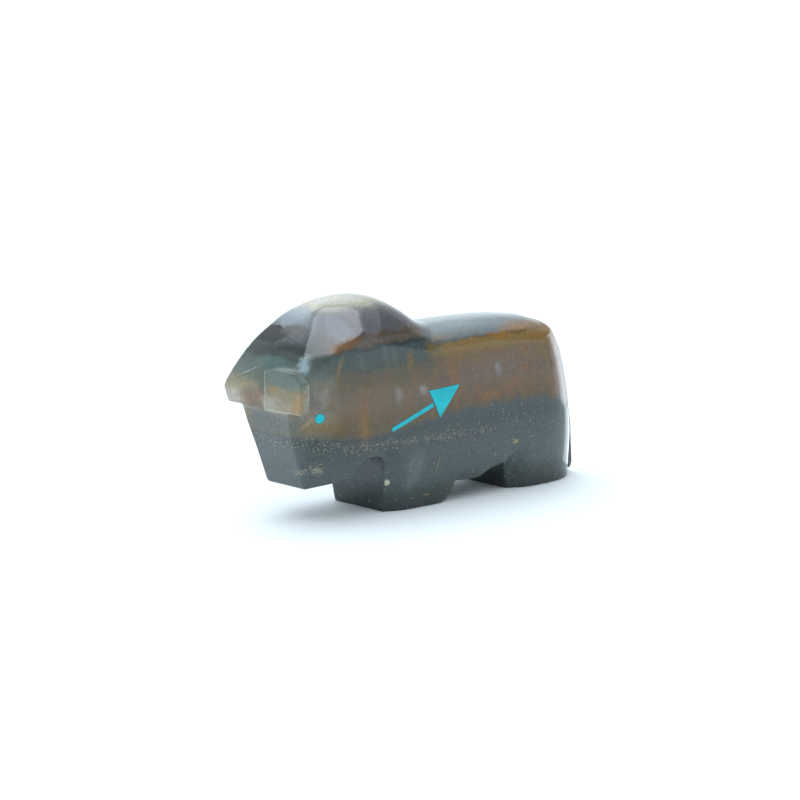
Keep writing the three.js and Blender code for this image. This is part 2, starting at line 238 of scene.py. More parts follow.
def flank_and_rump(x, y, z):
    """Half width of the flanks, ground away at the corners of the legs and along the belly, and
    closed behind by a barrel end."""
    lost = 0
    for place, lean, share, spread, full_to, ends_at in LEG_CORNERS:
        near_corner = share * np.exp(-(((x - place - lean * z) / spread) ** 2))
        lost = lost + near_corner * (1 - smooth_step(z, full_to, ends_at))
    low_down = 1 - smooth_step(z - np.interp(x, *BELLY.T), *CHAMFER_HEIGHTS)
    between_legs = smooth_step(x, *CHAMFER_STARTS) * (1 - smooth_step(x, *CHAMFER_ENDS))
    width = flank_width(z) * (1 - lost) - BELLY_CHAMFER * low_down * between_legs
    length = rear_place(z) - RUMP_START
    along = np.maximum(x - RUMP_START, 0) / length
    return round_top(np.abs(y) / width, along, 1 / width, 1 / length, BARREL_POWER, 0.1)


def arch(y, depth, slope, half_width, reach, power):
    """A top that is round across the horse: the half width and the reach below the crest are its
    half axes, and slope is how steeply the crest runs along the horse."""
    left = np.maximum(0, 1 - depth / reach)
    growth = np.sqrt(1 + slope**2) / reach
    return round_top(np.abs(y) / half_width, left, 1 / half_width, growth, power, 0.04)


def trunk(x, y, z):
    """Mane and back joined, cut by the flanks and the rump, and cut again by the underside. The
    mane is a little fuller at the forehead, where its power rises from 2 to 2.4."""
    fuller = np.interp(x, [-23, -19], [2.4, 2])
    mane_slope = steepness(crest_height, x)
    mane = arch(y, crest_height(x) - z, mane_slope, MANE_HALF_WIDTH, MANE_REACH, fuller)
    back_slope = steepness(back_height, x)
    back = arch(y, back_height(x) - z, back_slope, BACK_HALF_WIDTH, BACK_REACH, BARREL_POWER)
    sides = cut(flank_and_rump(x, y, z), join(mane, back, NECK_COVE), EDGE_RADIUS)
    return cut(sides, outline_distance(x, z, underside), EDGE_RADIUS)


print("field beside the flank and the back:", round(float(trunk(5.0, 8.0, 12.0)), 2), "mm")

# %% [markdown]
# ## Head and ears
# The muzzle is a wedge between two slanting cheek planes. The ears stand forward over it like a
# visor: the near one is a flat tab with a rounded top, the far one is turned a little and its top
# is the forehead itself. One flat cut on the mane's near side is where a window mirrors.

# %% Head and ears
CHEEK_HALF_WIDTH = 11.75  # what the wedge would have at x = 0 and on the floor
CHEEK_ALONG, CHEEK_UP = 0.4, 0.22  # how much wider it gets for each mm along the horse and up
CHEEK_SLOPE = np.sqrt(1 + CHEEK_ALONG**2 + CHEEK_UP**2)
CHEEK_EDGE = 0.5
FACE_SLOPE = 1.06  # √(1 + 0.35²), because the face leans by 0.35
FACE_EDGE = np.array([(5, 0.3), (9, 0.5), (13, 0.4)])  # height, radius
FACET_POINT = (-18.64, -4.38, 23.7)
FACET_NORMAL = (-0.155, -0.786, 0.598)
FACET_EDGE = 0.12
CROWN_FALL, CROWN_START, CROWN_EDGE = 0.2, 0.45, 0.35
NEAR_EAR = np.array([  # y, height
    (-0.5, 15.05), (-0.5, 19.3), (-2.2, 19.7), (-6, 19.7), (-7.2, 18.7), (-7.3, 16.7), (-7.2, 15.05),
])
NEAR_EAR_FRONT, NEAR_EAR_BACK, NEAR_EAR_GROWN = -26.15, -24.7, 0.3
NEAR_EAR_BACK_EDGE, NEAR_EAR_COVE = 0.3, 0.5
FAR_EAR = np.array([  # y, height
    (-0.4, 15.1), (6.55, 15.1), (7.2, 16.7), (7.1, 17.3), (6.8, 18.9), (6.4, 20), (5.8, 21.2),
    (-0.4, 21.3),
])
FAR_EAR_FRONT, FAR_EAR_BACK, FAR_EAR_GROWN = -25.65, -23.1, 0.35
FAR_EAR_BACK_EDGE, FAR_EAR_COVE = 0.4, 0.3
FAR_EAR_TURN = 0.0945  # its front comes forward by this for each mm to the far side
FAR_EAR_SLOPE = 1.005  # about √(1 + 0.0945²)
EAR_RIM = 0.25


def cheek_half_width(x, z):
    """Half width of the muzzle's wedge, which widens along the horse and upwards."""
    return CHEEK_HALF_WIDTH + CHEEK_ALONG * x + CHEEK_UP * z


def head(x, y, z):
    """The trunk cut by the cheeks, the mane's flat cut and the face, joined with the far ear, cut
    by the crowned forehead (its front falls back by 0.2 √(y² + 1) - 0.45), and joined with the
    near ear."""
    cheek = (np.abs(y) - cheek_half_width(x, z)) / CHEEK_SLOPE
    (px, py, pz), (nx, ny, nz) = FACET_POINT, FACET_NORMAL
    facet = (x - px) * nx + (y - py) * ny + (z - pz) * nz
    face = (face_place(z) - x) / FACE_SLOPE
    solid = cut(cut(trunk(x, y, z), cheek, CHEEK_EDGE), facet, FACET_EDGE)
    solid = cut(solid, face, np.interp(z, *FACE_EDGE.T))
    far_front = (FAR_EAR_FRONT - FAR_EAR_TURN * y - x) / FAR_EAR_SLOPE
    slab = cut(outline_distance(y, z, FAR_EAR) - FAR_EAR_GROWN, far_front, EAR_RIM)
    slab = cut(slab, x - FAR_EAR_BACK, FAR_EAR_BACK_EDGE)
    solid = join(solid, slab, FAR_EAR_COVE)
    crown = np.sqrt(y**2 + 1)
    slope = np.sqrt(1 + steepness(forehead_place, z) ** 2 + (CROWN_FALL * y / crown) ** 2)
    forehead = (forehead_place(z) + CROWN_FALL * crown - CROWN_START - x) / slope
    solid = cut(solid, forehead, CROWN_EDGE)
    tab = cut(outline_distance(y, z, NEAR_EAR) - NEAR_EAR_GROWN, NEAR_EAR_FRONT - x, EAR_RIM)
    tab = cut(tab, x - NEAR_EAR_BACK, NEAR_EAR_BACK_EDGE)
    return join(solid, tab, NEAR_EAR_COVE)


print("half width of the muzzle at the eye:", round(cheek_half_width(-21.92, 13.8), 2), "mm")

# %% [markdown]
# ## The tail
# The tail is a low ridge left standing down the middle of the rump, from the back nearly to the
# floor. It is one flat outline with a width, joined to the rump by a small cove.

# %% Tail, and the whole horse
TAIL_RIDGE = np.array([  # x, height
    (18.4, 21.6), (20.5, 20.65), (22.15, 19.2), (23.3, 17.3), (24.15, 14.7), (24.9, 10.9), (25.6, 6.5),
    (25.9, 1.2), (25.45, 0.5), (22, 0.5), (20, 14), (17, 18),
])
TAIL_HALF_WIDTH, TAIL_EDGE, TAIL_COVE = 2.3, 0.35, 0.3


def horse(x, y, z):
    """Head and trunk joined with the tail ridge."""
    ridge = cut(np.abs(y) - TAIL_HALF_WIDTH, outline_distance(x, z, TAIL_RIDGE), TAIL_EDGE)
    return join(head(x, y, z), ridge, TAIL_COVE)


print("distance outside the tail at x = 27 mm:", round(float(horse(27.0, 0.0, 6.0)), 2), "mm")

# %% [markdown]
# ## From a field to a mesh
# A fine lattice of points is laid over the solid. Every lattice cell that the surface runs through
# gets one vertex, at the mean of the places where its edges cross the surface, and every lattice
# edge that crosses gets one face between the four cells round it. The vertices then slide along
# the field's slope until they lie on the surface. It is all done on whole arrays.

# %% Vertices and faces in a lattice
CORNERS = np.array([(i, j, k) for i in (0, 1) for j in (0, 1) for k in (0, 1)])
ALONG = np.eye(3, dtype=int)


def cell_vertices(value, low, step):
    """A vertex for each cell with corners on both sides of the surface: the mean of the places
    where the cell's edges cross it, each found from the values at the edge's two ends. Gives the
    vertices, and the number of each cell's vertex."""
    inside = value < 0
    cells = [n - 1 for n in inside.shape]
    full = np.zeros(cells, np.int8)
    for i, j, k in CORNERS:
        full += inside[i : i + cells[0], j : j + cells[1], k : k + cells[2]]
    cell = np.argwhere((full > 0) & (full < len(CORNERS)))
    number = np.full(cells, -1)
    number[tuple(cell.T)] = np.arange(len(cell))
    total = np.zeros((len(cell), 3))
    crossings = np.zeros(len(cell))
    for axis in range(3):
        for corner in CORNERS[CORNERS[:, axis] == 0]:
            start = value[tuple((cell + corner).T)]
            end = value[tuple((cell + corner + ALONG[axis]).T)]
            crosses = (start < 0) != (end < 0)
            t = np.divide(start, start - end, out=np.zeros_like(start), where=crosses)
            total += np.where(crosses[:, None], corner + t[:, None] * ALONG[axis], 0)
            crossings += crosses
    return np.array(low) + step * (cell + total / crossings[:, None]), number


def cell_faces(inside, number):
    """A face for each lattice edge with one end inside, between the four cells round the edge,
    turned so that it looks outwards."""
    faces = []
    for axis in range(3):
        along, b, c = (ALONG[(axis + turn) % 3] for turn in range(3))
        ends = np.array(inside.shape) - along
        first = inside[: ends[0], : ends[1], : ends[2]]
        second = inside[along[0] :, along[1] :, along[2] :]
        place = np.argwhere(first != second)
        around = np.stack([place, place - b, place - b - c, place - c], axis=1)
        quad = number[tuple(np.moveaxis(around, 2, 0))]
        leaving = first[tuple(place.T)]
        faces.append(np.where(leaving[:, None], quad, quad[:, ::-1]))
    return np.vstack(faces)


print("corners of a lattice cell:", len(CORNERS))

# %% [markdown]
# ## Sliding onto the surface
# The mean of a few crossings is close to the surface but not on it. Each vertex moves by its
# distance against the field's slope, four times over, and the last slope is also its normal.


# %% Skin a field
def slope_of(field, points, reach=0.02):
    """The field's slope in x, y and z, from its change over a few hundredths of a millimetre."""
    sides = []
    for axis in np.eye(3) * reach:
        sides.append((field(*(points + axis).T) - field(*(points - axis).T)) / (2 * reach))
    return np.stack(sides, axis=1)


def skin(field, low, high, step, slides=4, least_square=0.05):
    """Vertices, faces and outward normals of the surface where the field is zero. A slide is the
    field times its slope over the slope's square, and at most half a lattice step on each axis."""
    axes = [np.arange(a, b + step, step) for a, b in zip(low, high)]
    value = field(axes[0][:, None, None], axes[1][None, :, None], axes[2][None, None, :])
    value = np.ascontiguousarray(np.broadcast_to(value, [len(a) for a in axes]))
    points, number = cell_vertices(value, low, step)
    for again in range(slides):
        slope = slope_of(field, points)
        square = np.maximum((slope**2).sum(1, keepdims=True), least_square)
        move = field(*points.T)[:, None] * slope / square
        points -= np.clip(move, -0.5 * step, 0.5 * step)
    slope = slope_of(field, points)
    normals = slope / np.linalg.norm(slope, axis=1, keepdims=True)
    return points, cell_faces(value < 0, number), normals


def put_in_scene(name, data):
    """An object at the origin that shows a mesh, a lamp or a camera."""
    thing = bpy.data.objects.new(name, data)
    bpy.context.scene.collection.objects.link(thing)
    return thing


def make_piece(name, points, faces, normals, material):
    """A mesh object at the origin from arrays in mm, shaded with the field's own normals."""
    mesh = bpy.data.meshes.new(name)
    mesh.from_pydata((points * MM).tolist(), [], faces.tolist())
    mesh.shade_smooth()
    mesh.normals_split_custom_set_from_vertices(normals.tolist())
    mesh.materials.append(material)
    print(name, len(points), "vertices,", 2 * len(faces), "triangles")
    return put_in_scene(name, mesh)


print("slope of the field beside the flank:", slope_of(horse, np.array([(5.0, 8.0, 12.0)])).round(2))

# %% [markdown]
# ## Colours and nodes
# Colours are written as sRGB hex values, as a colour picker shows them, and a shader wants linear
# light, so one function turns them. Another adds a node with its settings and its links.


# %% Colour and node helpers
def linear(hex_colour):
    """sRGB to linear light: divide by 12.92 below 0.04045, else ((c + 0.055) / 1.055) to the 2.4."""
    c = np.array([int(hex_colour[i : i + 2], 16) for i in (1, 3, 5)]) / 255
    return (*np.where(c <= 0.04045, c / 12.92, ((c + 0.055) / 1.055) ** 2.4).tolist(), 1)


def add(tree, kind, inputs=None, **settings):
    """Adds one node. Each input is a value, or another node's output that gets linked to it. An
    input that isn't named keeps what it starts with, such as a Map Range's ends of 0 and 1."""
    node = tree.nodes.new("ShaderNode" + kind)
    for name, setting in settings.items():
        setattr(node, name, setting)
    for name, source in (inputs or {}).items():
        if isinstance(source, bpy.types.NodeSocket):
            tree.links.new(source, node.inputs[name])
        else:
            node.inputs[name].default_value = source
    return node


def new_material(name):
    """An empty node material and its tree."""
    material = bpy.data.materials.new(name)
    material.use_nodes = True
    material.node_tree.nodes.clear()
    return material, material.node_tree


def set_ramp(ramp, stops):
    """Puts (position, hex colour) stops on a colour ramp."""
    elements = ramp.color_ramp.elements
    while len(elements) < len(stops):
        elements.new(0.5)
    for element, (position, colour) in zip(elements, stops):
        element.position = position
        element.color = linear(colour)


print("mid grey in linear light:", round(linear("#808080")[0], 3))

# %% [markdown]
# ## The stone
# It is a banded sedimentary stone, sawn across its layers, ground and polished. Mud settled in
# level layers, so colour depends mostly on height: blue-grey below, rusty brown above it, then a
# golden layer along the back, a teal one through the head and a mauve and a cream one in the mane.
# Object coordinates are used because the layers run through the block, whatever its surface does.

# %% Ragged places in the stone, in mm
RAG_WIDTH = 2.0
RAG_REACH = (2.6, 2.6, 1.7)
stone, tree = new_material("polished_banded_stone")
place = add(tree, "TexCoord").outputs["Object"]
mm = add(tree, "VectorMath", {0: place, 1: (1000, 1000, 1000)}, operation="MULTIPLY").outputs[0]

# No edge between two layers is level: noise from 2 mm down to a few hundredths shifts it up or
# down by as much as about half a millimetre.
noise = add(tree, "TexNoise", {"Vector": mm, "Scale": 1 / RAG_WIDTH, "Detail": 6, "Roughness": 0.62})
rag = {0: noise.outputs["Color"], 1: (-0.5, -0.5, -0.5)}
rag = add(tree, "VectorMath", rag, operation="ADD").outputs[0]
rag = add(tree, "VectorMath", {0: rag, 1: RAG_REACH}, operation="MULTIPLY").outputs[0]
ragged = add(tree, "VectorMath", {0: mm, 1: rag}, operation="ADD").outputs[0]
parted = add(tree, "SeparateXYZ", {0: ragged}).outputs
ragged_x = parted["X"]
ragged_z = parted["Z"]
print("nodes for ragged places:", len(tree.nodes))

# %% [markdown]
# ## Level layers
# The block isn't the same from end to end, so there are four stacks of layers: the blue-grey foot,
# the head, the mane and the back. Each is a colour ramp over the height, and along the horse one
# stack runs into the next within a few millimetres. The blue-grey stack darkens over its lowest 4 mm,
# which is painted shade on the legs near the floor.

# %% Level layers
RAMP_TOP = 30  # height in mm at the end of each ramp
BLUE_GREY_AND_LOW_SHADE_LAYERS = [  # height in mm, colour
    # The stops at 0 and 2 mm are darker than the layer: painted shade on the legs near the floor.
    (0, "#343a3b"), (2, "#3a4241"), (4, "#4b5556"), (6, "#4c5556"), (8, "#464e4f"), (9.5, "#434b4b"),
    (10.6, "#3a4444"), (12, "#404a4b"),
]
HEAD_LAYERS = [
    (11.5, "#605f50"), (13, "#78715a"), (14, "#7b7466"), (15, "#6a6356"), (17, "#727064"),
    (18.4, "#666a5c"), (19.4, "#525f59"), (20.4, "#434f4a"), (21.4, "#35403c"), (22.4, "#333731"),
    (24, "#50555a"), (25, "#7b8489"), (26.4, "#8d9597"), (27.4, "#a9a799"),
]
MANE_LAYERS = [
    (12, "#5b4c34"), (13, "#634f35"), (14, "#67553e"), (15, "#6b5d4d"), (16.2, "#685b4a"),
    (17.4, "#5d5341"), (18.6, "#555245"), (19.4, "#474d45"), (20.4, "#435050"), (21.3, "#434e4f"),
    (21.75, "#343b3b"), (22.2, "#5c5246"), (23.2, "#5b5552"), (24.4, "#57555a"), (25.6, "#626063"),
    (26.3, "#77756f"), (26.8, "#a2a095"), (27.1, "#aea78f"), (27.4, "#b5b2a6"),
]
BACK_LAYERS = [
    (12, "#4b4538"), (13, "#594a34"), (14.2, "#654f37"), (15.4, "#6a5947"), (16.6, "#655447"),
    (17.8, "#6d583f"), (19, "#6d5739"), (20, "#7c6338"), (20.7, "#836c46"), (21.15, "#544530"),
    (21.45, "#7d6c50"), (21.9, "#5f686a"), (22.5, "#586569"), (23.2, "#707d82"),
]
share = add(tree, "Math", {0: ragged_z, 1: RAMP_TOP}, operation="DIVIDE").outputs[0]
stacks = []
for layers in (BLUE_GREY_AND_LOW_SHADE_LAYERS, HEAD_LAYERS, MANE_LAYERS, BACK_LAYERS):
    ramp = add(tree, "ValToRGB", {"Fac": share})
    set_ramp(ramp, [(height / RAMP_TOP, tint) for height, tint in layers])
    stacks.append(ramp.outputs[0])
blue_grey_and_low_shade, colour, mane_stack, back_stack = stacks
for stack, starts, ends in ((mane_stack, -21.5, -19), (back_stack, -4, -1)):
    behind = add(tree, "MapRange", {"Value": ragged_x, 1: starts, 2: ends}).outputs[0]
    colour = add(tree, "Mix", {0: behind, 6: colour, 7: stack}, data_type="RGBA").outputs[2]
print("stacks of layers:", len(stacks))

# %% [markdown]
# ## Rust and the blue-grey foot of the stone
# Iron seeped down from the golden layer and left upright streaks in the brown, so that noise is
# stretched three times as tall as wide. The top of the blue-grey rises and falls along the horse
# by 0.85 sin(2π (x + 4) / 44) mm.

# %% Streaks and the wavy boundary
STREAKS_PER_MM = (0.75, 0.75, 0.26)  # 1.3 mm wide and 3.8 mm tall
STREAK_TINTS = [  # colour, noise where it starts, noise where it is full, strength
    ("#7d5730", 0.5, 0.72, 0.55),
    ("#5a544d", 0.48, 0.3, 0.5),
]
BROWN_ENDS, BROWN_FULL = 19.8, 16.5
WAVE_LENGTH, WAVE_HEIGHT, WAVE_START = 44, 0.85, -4
FOOT_ENDS, FOOT_FULL = 12.1, 11.1

stretched = add(tree, "Mapping", {"Vector": mm, "Scale": STREAKS_PER_MM}).outputs[0]
streaks = add(tree, "TexNoise", {"Vector": stretched, "Scale": 1.0, "Detail": 5, "Roughness": 0.55})
span = {"Value": ragged_z, 1: BROWN_ENDS, 2: BROWN_FULL}
in_brown = add(tree, "MapRange", span, interpolation_type="SMOOTHSTEP").outputs[0]
for tint, least, most, amount in STREAK_TINTS:
    span = {"Value": streaks.outputs["Fac"], 1: least, 2: most, 3: 0, 4: amount}
    strong = add(tree, "MapRange", span).outputs[0]
    strong = add(tree, "Math", {0: strong, 1: in_brown}, operation="MULTIPLY").outputs[0]
    colour = add(tree, "Mix", {0: strong, 6: colour, 7: linear(tint)}, data_type="RGBA").outputs[2]

per_mm = 2 * np.pi / WAVE_LENGTH
phase = add(tree, "Math", {
    0: ragged_x, 1: per_mm, 2: -WAVE_START * per_mm,
}, operation="MULTIPLY_ADD").outputs[0]
wave = add(tree, "Math", {0: phase}, operation="SINE").outputs[0]
level = add(tree, "Math", {0: wave, 1: -WAVE_HEIGHT, 2: ragged_z}, operation="MULTIPLY_ADD").outputs[0]
span = {"Value": level, 1: FOOT_ENDS, 2: FOOT_FULL}
in_foot = add(tree, "MapRange", span, interpolation_type="SMOOTHSTEP").outputs[0]
colour = add(tree, "Mix", {0: in_foot, 6: colour, 7: blue_grey_and_low_shade}, data_type="RGBA").outputs[2]
print("stone nodes so far:", len(tree.nodes))

# %% [markdown]
# ## Clouds, veins, stains and painted light
# Beside its layers the stone has local colour: a slate cloud and a lavender one on the forehead,
# golden stains in the mane, a healed crack behind the cheek, rust lines at the rump. Some marks are
# painted light: pale lines on two ear edges are painted highlights, the dark beside the near ear is
# painted shade, and the lavender on the forehead and on the mane's flat cut is partly a painted
# reflection. Each is an ellipsoid with a soft edge: 1 inside, 0 outside, by the length of the point's
# place in it.

# %% Clouds, veins, stains and painted light
THIN = 0.25  # veins and rims with a half axis under this, in mm, run straight and aren't ragged
LOCAL_COLOURS_AND_PAINTED_LIGHT = [
    # colour, centre, half axes, softness of the edge, strength, and its turns if it has any
    # Partly the stone's own lavender, partly a painted reflection of the bright ceiling on the forehead.
    ("#8d979d", (-20.3, 0.9, 26), (2.9, 3, 1.5), 0.4, 0.75, (0, 30)),
    ("#080e12", (-22.3, 2.4, 23.4), (2.1, 3.2, 1.4), 0.12, 0.97, (0, 20)),
    ("#5a514f", (-21.9, -1.4, 24.2), (1.3, 2.1, 0.9), 0.4, 0.75, (0, 30)),
    ("#10191a", (-23.4, -2.6, 22.3), (1.3, 3, 0.6), 0.45, 0.85, (0, 30)),
    ("#1e2b2a", (-24.4, 1.6, 21.7), (1.1, 3.2, 0.8), 0.6, 0.65, (0, 30)),
    ("#4c625f", (-24.9, -1.2, 20.5), (1.2, 3.4, 0.8), 0.5, 0.7, (0, 30)),
    ("#90a3a6", (-24, -5.7, 20.9), (0.9, 0.9, 1.5), 0.5, 0.8, (0, 30)),
    ("#2a3832", (-21.6, -6.1, 21.2), (1.7, 1.5, 0.6), 0.5, 0.75, (0, -10)),
    ("#191d1c", (-23.8, 0.9, 22.2), (0.7, 2.3, 0.06), 0.7, 0.7),
    ("#191d1c", (-22.8, -2.6, 23.2), (0.7, 1.9, 0.06), 0.7, 0.7, (12, 0)),
    # A worn edge along the crease above the far ear, and partly a painted highlight of its rounding.
    ("#aab5ac", (-25.95, 2.9, 19.25), (0.5, 2.4, 0.09), 0.6, 0.35, (-24, 0)),
    ("#b3aca0", (-26.3, 6, 15.8), (1.5, 2.8, 1.4), 0.6, 0.9),
    ("#958a68", (-26.1, 4.8, 17.4), (1.5, 3, 0.8), 0.8, 0.65),
    # The far ear's front turns brown, then dark green-grey, beside the near ear: its own brown with painted
    # shade cast by the proud near ear.
    ("#7f6a56", (-26, 2.2, 16), (1.5, 2.2, 1.2), 0.6, 0.8),
    ("#4d5446", (-26, 0.7, 18.2), (1.2, 0.9, 1.4), 0.6, 0.7),
    ("#58685f", (-26.2, -3.6, 18.9), (0.8, 4.4, 1.1), 0.4, 0.8),
    ("#837858", (-26.2, -3.6, 17), (0.8, 3.4, 0.7), 0.6, 0.75),
    ("#8c7446", (-26.2, -2.1, 17.5), (0.8, 0.8, 0.4), 0.6, 0.7),
    ("#928873", (-26.2, -3, 15.6), (0.8, 3.4, 1), 0.5, 0.85),
    ("#969285", (-26.2, -1.4, 15.4), (0.8, 1.6, 0.9), 0.5, 0.8),
    ("#9a7d50", (-26.2, -6.9, 16.2), (0.9, 1.1, 1.6), 0.6, 0.8),
    # Painted highlight along the near ear's inner edge.
    ("#aab1a4", (-26.2, -0.3, 17.2), (0.5, 0.16, 2.8), 0.5, 0.5),
    ("#cfc9b4", (-26.2, -4.2, 14.8), (0.5, 3.2, 0.14), 0.5, 0.35),
    ("#8f9587", (-25.3, -7.6, 17), (0.5, 0.4, 2.4), 0.5, 0.5),
    ("#a3a59c", (-25.3, 2.4, 14.5), (0.8, 2.2, 0.14), 0.5, 0.3),
    ("#8f8059", (-25.2, 4.2, 13.9), (0.8, 0.9, 0.7), 0.5, 0.8),
    ("#525c5e", (-24.4, 0.4, 8.8), (1.6, 5.6, 3.4), 0.5, 0.85, (0, 18)),
    ("#525c5f", (-24.9, -0.4, 13.2), (1.5, 5.6, 1.3), 0.6, 0.75),
    ("#9a875c", (-23.1, -5.5, 13.4), (1.4, 1.6, 0.2), 0.8, 0.5, (0, -35)),
    ("#745d35", (-21.6, -6, 12.5), (2.4, 1.8, 0.5), 0.6, 0.7),
    # Partly the stone's own grey-lavender, partly a painted reflection of the window in the mane's flat cut.
    ("#74757d", (-17.2, -4.4, 24.4), (1.9, 3, 1.7), 0.3, 0.7, (0, 25)),
    ("#6b4716", (-17.4, -5.7, 22.5), (2.6, 2, 0.55), 0.5, 0.9, (0, -8)),
    ("#554334", (-8.6, -5.2, 23.2), (5.5, 2.8, 0.3), 0.6, 0.7, (0, 2)),
    ("#84703f", (-18.8, -6.6, 19.9), (0.26, 1.6, 1.7), 0.9, 0.6, (0, 28)),
    ("#857d7c", (-21.5, -6.4, 16.4), (0.45, 1.6, 2.2), 0.9, 0.5, (0, 28)),
    ("#606e68", (-15, -6.8, 20.4), (0.4, 1.5, 1.5), 0.9, 0.35),
    ("#606e68", (-11, -6.8, 20.6), (0.4, 1.5, 1.3), 0.9, 0.35),
    ("#5d6a64", (-9.6, -6.8, 20.2), (0.4, 1.5, 1.6), 0.9, 0.35),
    ("#a8a598", (-5.2, -5, 23.4), (0.25, 1, 0.2), 0.3, 0.8),
    ("#966428", (8.9, -6.2, 21.1), (1.8, 2.2, 0.5), 0.8, 0.7),
    ("#59666a", (5.5, -5.6, 21.6), (7, 2.2, 0.5), 0.5, 0.8, (0, -4)),
    ("#86673d", (18.6, -6, 20.4), (4.2, 2.6, 1), 0.8, 0.7),
    ("#8c6236", (13.8, -5.6, 21.7), (3, 2.6, 0.5), 0.9, 0.7),
    ("#6d5d56", (8, -7, 17.3), (6, 2.2, 1.7), 0.7, 0.5, (0, -6)),
    ("#7d7a7b", (8, -7, 16.7), (0.5, 1.6, 0.9), 0.7, 0.7),
    ("#8a5a2a", (14.6, -7, 16.4), (0.13, 2.4, 5.2), 0.8, 0.35, (0, -45)),
    ("#8a5a2a", (12.6, -7, 18.4), (0.12, 2.4, 2.4), 0.8, 0.3, (0, -33)),
    ("#775a28", (-15.4, -6.8, 11.9), (0.9, 2.2, 1.6), 0.7, 0.8),
    ("#867e7a", (-9.5, -6.8, 15.6), (0.6, 1.6, 0.7), 0.8, 0.7),
    ("#8a827e", (-5.2, -6.8, 15.4), (0.7, 1.6, 0.6), 0.8, 0.75, (0, 15)),
    ("#82582a", (6.4, -7, 13.5), (1.4, 1.6, 0.6), 0.8, 0.65),
    ("#82582a", (12.3, -7, 16.5), (0.8, 1.6, 0.5), 0.8, 0.5),
    ("#7a562b", (0.2, -7, 16.6), (0.5, 1.6, 1.2), 0.8, 0.5),
    ("#74592a", (-6.8, -6.8, 19.4), (0.45, 1.6, 1.2), 0.8, 0.7),
    ("#74592a", (-3.4, -6.6, 20.6), (0.9, 1.6, 0.8), 0.8, 0.7),
    ("#a09b89", (-21.4, -5, 6.9), (0.45, 0.9, 0.3), 0.9, 0.5),
    ("#8a8a80", (-22.9, -3.8, 6.7), (0.35, 0.7, 0.25), 0.9, 0.4),
    ("#626e71", (-6.4, -6.6, 5.2), (1.3, 1.6, 2.3), 0.7, 0.6, (0, 12)),
    ("#c9c2a8", (-10.2, -5.8, 4.1), (0.42, 0.8, 0.4), 0.25, 0.9),
    ("#948548", (-2.6, -6.6, 5.4), (0.09, 1, 1), 0.7, 0.5, (0, 14)),
    ("#948548", (-4, -6.4, 1.6), (0.5, 1, 0.09), 0.6, 0.8),
    ("#968a55", (11, -7, 6.5), (0.4, 1, 0.3), 0.6, 0.9),
]


def place_in_ellipsoid(tree, vector, centre, half_axes, turns=(0, 0)):
    """Length of a point's place in an ellipsoid: 0 at its centre and 1 on its surface. The turns
    are about x and y, in degrees."""
    about_x, about_y = np.radians(turns)
    within = add(tree, "Mapping", {
        "Vector": vector, "Location": centre, "Scale": half_axes, "Rotation": (about_x, about_y, 0),
    }, vector_type="TEXTURE").outputs[0]
    return add(tree, "VectorMath", {0: within}, operation="LENGTH").outputs["Value"]


for tint, centre, half_axes, softness, strength, *turns in LOCAL_COLOURS_AND_PAINTED_LIGHT:
    vector = mm if min(half_axes) < THIN else ragged
    away = place_in_ellipsoid(tree, vector, centre, half_axes, *turns)
    span = {"Value": away, 1: 1 + softness, 2: 1 - softness, 3: 0, 4: strength}
    amount = add(tree, "MapRange", span, interpolation_type="SMOOTHSTEP").outputs[0]
    colour = add(tree, "Mix", {0: amount, 6: colour, 7: linear(tint)}, data_type="RGBA").outputs[2]
print("clouds, veins and stains:", len(LOCAL_COLOURS_AND_PAINTED_LIGHT))

# %% [markdown]
# ## Where the specks are
# A thin layer at 9 mm is full of grains of pale pyrite and dark shale. It is nearly level along the
# body, rises by 1.5 mm towards the muzzle and thins out at the hind leg. The muzzle has two nests
# of mostly pale grains as well. All of that becomes one number, the chance that a place holds one.

# %% Chance of a speck
SPECK_LEVEL, SPECK_TILT = 8.8, -0.02
MUZZLE_RISE = 1.5
LAYER_ENDS, LAYER_FULL = 1, 0.1  # mm off the layer's middle
CROWDED, THINNED_OUT = 0.9, 0.15
RARE_IN_FOOT, RARE_ABOVE = 0.045, 0.004
SPECK_NESTS = [  # centre, half axes
    ((-21.6, -4.8, 7), (1.3, 2.2, 0.8)),
    ((-23, -2.9, 6.7), (0.9, 1.4, 0.7)),
]
NEST_PALER = 0.4
rise = add(tree, "MapRange", {"Value": ragged_x, 1: -24, 2: -15, 3: MUZZLE_RISE, 4: 0}).outputs[0]
middle = add(tree, "Math", {0: ragged_x, 1: SPECK_TILT, 2: SPECK_LEVEL}, operation="MULTIPLY_ADD").outputs[0]
middle = add(tree, "Math", {0: middle, 1: rise}, operation="ADD").outputs[0]
off = add(tree, "Math", {0: ragged_z, 1: middle}, operation="SUBTRACT").outputs[0]
off = add(tree, "Math", {0: off}, operation="ABSOLUTE").outputs[0]
span = {"Value": off, 1: LAYER_ENDS, 2: LAYER_FULL, 3: 0, 4: CROWDED}
crowd = add(tree, "MapRange", span, interpolation_type="SMOOTHSTEP").outputs[0]
thins_out = add(tree, "MapRange", {"Value": ragged_x, 1: 5, 2: 13, 3: 1, 4: THINNED_OUT}).outputs[0]
crowd = add(tree, "Math", {0: crowd, 1: thins_out}, operation="MULTIPLY").outputs[0]
